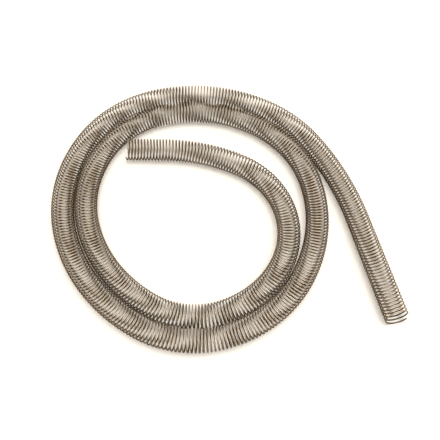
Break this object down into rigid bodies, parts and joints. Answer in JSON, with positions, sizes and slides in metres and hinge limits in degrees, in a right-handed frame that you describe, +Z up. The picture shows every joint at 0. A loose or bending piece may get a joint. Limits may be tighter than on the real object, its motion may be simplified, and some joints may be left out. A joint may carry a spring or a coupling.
{
  "type": "brewing filter spring",
  "caption": "Long open spring of thin stainless wire, laid in loose round laps with two open ends, that lies in a mash or brewing kettle as a strainer in front of the outlet.",
  "frame": {"origin": "centre of the footprint, on the surface that the spring lies on", "axes": "+X along the longest extent, to the right as it lies with its free end to the right and in front; +Y to the back; +Z up"},
  "size_m": [0.269, 0.2454, 0.018],
  "materials": {
    "wire": "drawn stainless wire, satin"
  },
  "bodies": {
    "root": {"inner_mouth": "wire", "easing_bend": "wire", "gather_bend": "wire", "first_lap_front_right": "wire", "first_lap_front": "wire", "first_lap_front_left": "wire", "first_lap_left": "wire", "first_lap_back_left": "wire", "first_lap_back": "wire", "first_lap_back_right": "wire", "first_lap_right": "wire", "second_lap_front_right": "wire", "second_lap_front": "wire", "second_lap_front_left": "wire", "second_lap_left": "wire", "second_lap_back_left": "wire", "second_lap_back": "wire", "second_lap_back_right": "wire", "tail_bend": "wire", "tail_straight": "wire", "outer_mouth": "wire"}
  },
  "joints": []
}
